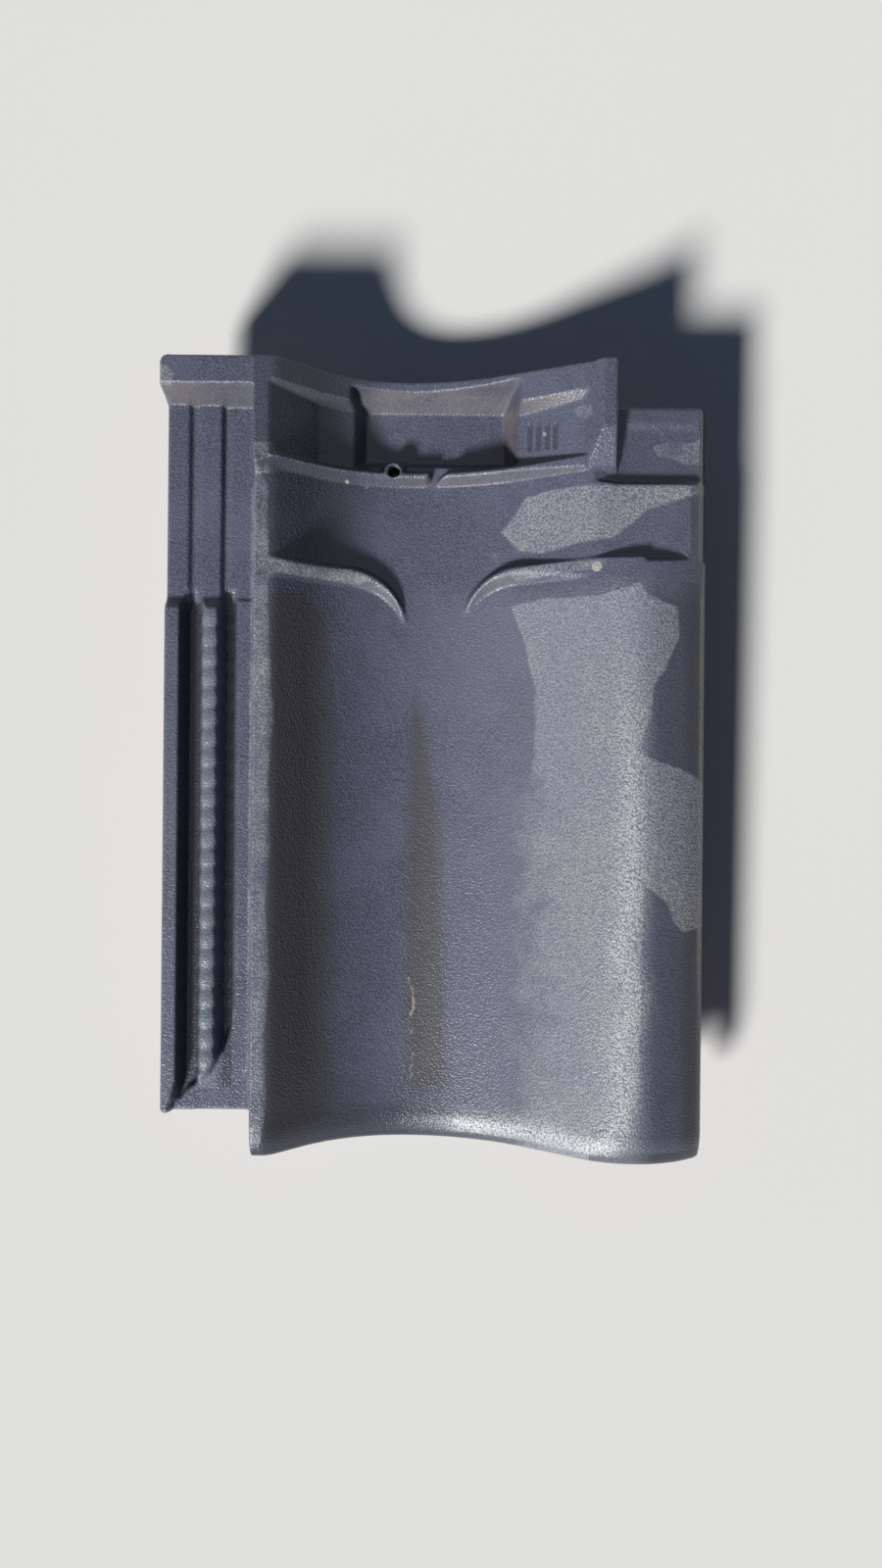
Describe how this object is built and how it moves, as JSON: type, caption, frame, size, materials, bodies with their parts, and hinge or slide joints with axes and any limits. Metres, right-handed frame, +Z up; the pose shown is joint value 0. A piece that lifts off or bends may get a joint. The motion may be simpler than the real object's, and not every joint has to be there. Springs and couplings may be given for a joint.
{
  "type": "clay roof tile",
  "caption": "Interlocking clay pantile with a concave pan, a lapping roll, a beaded side lock, a ribbed head lock, a nail hole and a batten nib underneath.",
  "frame": {"origin": "middle of the tile's footprint, on the level floor it lies on", "axes": "+Y from the front edge towards the head (up the roof), +X from the side lock towards the roll, +Z up out of the weather side"},
  "size_m": [0.2524, 0.3672, 0.0672],
  "materials": {
    "fired_clay": "satin anthracite engobe over red-brown fired clay, fine orange-peel grain, dusty where dry"
  },
  "bodies": {
    "root": {"roof_tile": "fired_clay"}
  },
  "joints": []
}
